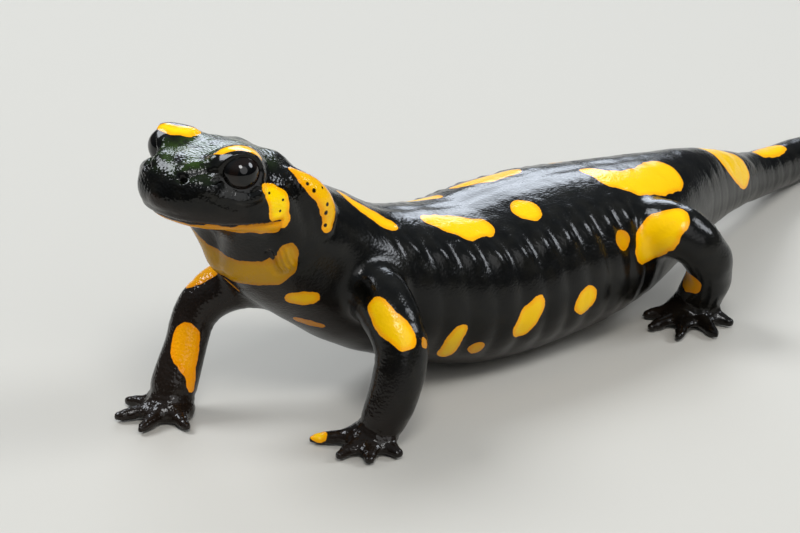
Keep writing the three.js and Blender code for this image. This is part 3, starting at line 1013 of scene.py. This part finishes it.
# Living amphibian skin under a film of mucus: near black, smooth and wet, so that each granule catches light
def wetSkin():
    material = bpy.data.materials.new("wet_amphibian_skin")
    material.use_nodes = True
    tree = material.node_tree
    shader = tree.nodes["Principled BSDF"]
    place = addNode(tree, "TexCoord", {}, {}, "Object")
    colours = {key: srgb(value) for key, value in skinLook.items() if isinstance(value, str)}
    patch, yellow = patchColour(tree, place, colours)
    ground = groundColour(tree, place, colours)
    colour = addNode(tree, "Mix", blend, {0: patch, 6: ground, 7: yellow}, 2)
    tree.links.new(colour, shader.inputs["Base Color"])
    tree.links.new(filmRoughness(tree, place), shader.inputs["Roughness"])
    tree.links.new(granuleRelief(tree, place), shader.inputs["Normal"])
    shader.inputs["IOR"].default_value = skinLook["ior"]
    return material


skin.data.materials.append(wetSkin())
makeActive(skin)
bpy.ops.object.shade_smooth()
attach(skin, "root")
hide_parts(*fleshNodes)

eyeMake = {
    "faces": (96, 64),  # round the ball and from pole to pole
    "facing": (0.93, 0.28, 0.12),  # side, forward, up
    "ball": 0.985,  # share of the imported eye's radius, behind the cornea
    "cornea": (0.05, 0, 52),  # share of the radius that its middle stands proud, and degrees to its rim
    "pupilEdge": (31.0, 28.0),  # degrees from the middle
    "irisEdge": (50.0, 58.0),
    "pupil": "#020202",
    "iris": "#090503",
    "irisLight": "#180C06",
    "outside": "#060504",
    "fleck": 0.35,  # mm
    "roughness": 0.03,
    "ior": 1.45,
}


# Wet cornea over a dark iris: almost black, with a mirror-like film
def corneaOverIris():
    material = bpy.data.materials.new("wet_cornea_over_dark_iris")
    material.use_nodes = True
    tree = material.node_tree
    shader = tree.nodes["Principled BSDF"]
    colours = {key: srgb(value) for key, value in eyeMake.items() if isinstance(value, str)}
    turn = addNode(tree, "Attribute", {"attribute_name": "fromPupil"}, {}, "Fac")
    shares = []
    for start, end in (eyeMake["pupilEdge"], eyeMake["irisEdge"]):
        shares.append(addNode(tree, "MapRange", {}, {"Value": turn, "From Min": start, "From Max": end}))
    place = addNode(tree, "TexCoord", {}, {}, "Object")
    fleck = {"Vector": place, "Scale": 1 / (eyeMake["fleck"] * mm), "Detail": 3.0}
    fleck = addNode(tree, "TexNoise", {}, fleck, "Fac")
    colour = colours["iris"]
    for share, other in ((fleck, "irisLight"), (shares[0], "pupil"), (shares[1], "outside")):
        colour = addNode(tree, "Mix", blend, {0: share, 6: colour, 7: colours[other]}, 2)
    tree.links.new(colour, shader.inputs["Base Color"])
    shader.inputs["Roughness"].default_value = eyeMake["roughness"]
    shader.inputs["IOR"].default_value = eyeMake["ior"]
    return material


# A polished ball with its cornea standing proud
def makeEye(side, material):
    out, forward, up = eyeMake["facing"]
    facing = Vector((sign[side] * out, -forward, up)).normalized()
    segments, rings = eyeMake["faces"]
    deselectAll()
    bpy.ops.mesh.primitive_uv_sphere_add(segments=segments, ring_count=rings, radius=eyeRadius * mm)
    eye = bpy.context.object
    eye.name = eye.data.name = "eyeball_" + side
    eye.rotation_mode = "QUATERNION"
    eye.rotation_quaternion = facing.to_track_quat("Z", "Y")
    bpy.ops.object.transform_apply(rotation=True)
    points = readRows(eye.data)
    directions = points / np.linalg.norm(points, axis=1)[:, None]
    turn = np.degrees(np.arccos(np.clip(directions @ np.array(facing), -1, 1)))
    radius = eyeRadius * (eyeMake["ball"] + ridge(turn, *eyeMake["cornea"]))
    writePoints(eye.data, eyeCentre[side] + directions * radius[:, None])
    keepValue(eye.data, "fromPupil", turn)
    bpy.ops.object.shade_smooth()
    eye.data.materials.append(material)
    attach(eye, "root")
    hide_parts(eyeNodes[side])


eyeMaterial = corneaOverIris()
for side in sign:
    makeEye(side, eyeMaterial)
print("eyes set")

# Pale matt paper that reaches past every view
floorMake = {"size": 6, "colour": "#BDB9B0", "roughness": 0.9}


def addFloor():
    deselectAll()
    bpy.ops.mesh.primitive_plane_add(size=floorMake["size"], location=(0, 0, 0))
    floor = bpy.context.object
    floor.name = "floor"
    material = bpy.data.materials.new("pale_matte_paper")
    material.use_nodes = True
    shader = material.node_tree.nodes["Principled BSDF"]
    shader.inputs["Base Color"].default_value = srgb(floorMake["colour"])
    shader.inputs["Roughness"].default_value = floorMake["roughness"]
    floor.data.materials.append(material)


# Soft studio light: round panels round the animal, a wide one at its left front, and a dome over them
lights = {
    "key": {"at": (-0.54, -0.18, 0.68), "size": 0.42, "power": 5.2, "colour": "#F3F8FF"},
    "front": {"at": (0.40, -0.36, 0.72), "size": 0.27, "power": 2.8, "colour": "#FFFFFF"},
    "side": {"at": (0.46, 0.55, 0.55), "size": 0.36, "power": 3.4, "colour": "#F3F8FF"},
    "fill": {"at": (0.72, -0.28, 0.50), "size": 0.75, "power": 2.0, "colour": "#FFFFFF"},
    "back": {"at": (-0.60, 0.65, 0.42), "size": 0.5, "power": 3.6, "colour": "#EAF3FF"},
}
lightTarget = Vector((0, 0, 0.015))
# Its strength low down and overhead, and the heights between which it grows
dome = {"colour": "#DCE6F0", "horizon": 0.1, "zenith": 0.42, "start": 0.2, "end": 0.8}


def addLight(name, setting):
    data = bpy.data.lights.new(name, "AREA")
    data.shape = "DISK"
    data.size = setting["size"]
    data.energy = setting["power"]
    data.color = srgb(setting["colour"])[:3]
    light = bpy.data.objects.new(name, data)
    light.location = setting["at"]
    light.rotation_mode = "QUATERNION"
    light.rotation_quaternion = (lightTarget - light.location).to_track_quat("-Z", "Y")
    bpy.context.scene.collection.objects.link(light)


def addDome():
    world = bpy.data.worlds.new("studio")
    bpy.context.scene.world = world
    world.use_nodes = True
    tree = world.node_tree
    background = tree.nodes["Background"]
    direction = addNode(tree, "TexCoord", {}, {}, "Generated")
    height = addNode(tree, "SeparateXYZ", {}, {0: direction}, "Z")
    strength = {"Value": height, "From Min": dome["start"], "From Max": dome["end"]}
    strength.update({"To Min": dome["horizon"], "To Max": dome["zenith"]})
    strength = addNode(tree, "MapRange", soft, strength)
    background.inputs["Color"].default_value = srgb(dome["colour"])
    tree.links.new(strength, background.inputs["Strength"])


addFloor()
for name, setting in lights.items():
    addLight(name, setting)
addDome()
bpy.context.scene.view_settings.view_transform = "Standard"  # shows the colours as they are set
print("stage lit")

# The camera looks down at the animal's left front quarter, from a place in mm
cameraMake = {
    "at": (347.0, -366.3, 214.4),
    "azimuth": 45,
    "elevation": 22,
    "lens": 180,
    "sensor": 36,
    "clip": (0.01, 20),
}


def addCamera():
    data = bpy.data.cameras.new("camera")
    data.lens = cameraMake["lens"]
    data.sensor_width = cameraMake["sensor"]
    data.clip_start, data.clip_end = cameraMake["clip"]
    camera = bpy.data.objects.new("camera", data)
    azimuth, elevation = math.radians(cameraMake["azimuth"]), math.radians(cameraMake["elevation"])
    away = Vector((
        math.sin(azimuth) * math.cos(elevation),
        -math.cos(azimuth) * math.cos(elevation),
        math.sin(elevation),
    ))
    camera.location = Vector(cameraMake["at"]) * mm
    camera.rotation_mode = "QUATERNION"
    camera.rotation_quaternion = (-away).to_track_quat("-Z", "Y")
    bpy.context.scene.collection.objects.link(camera)
    bpy.context.scene.camera = camera


addCamera()
print("camera set")
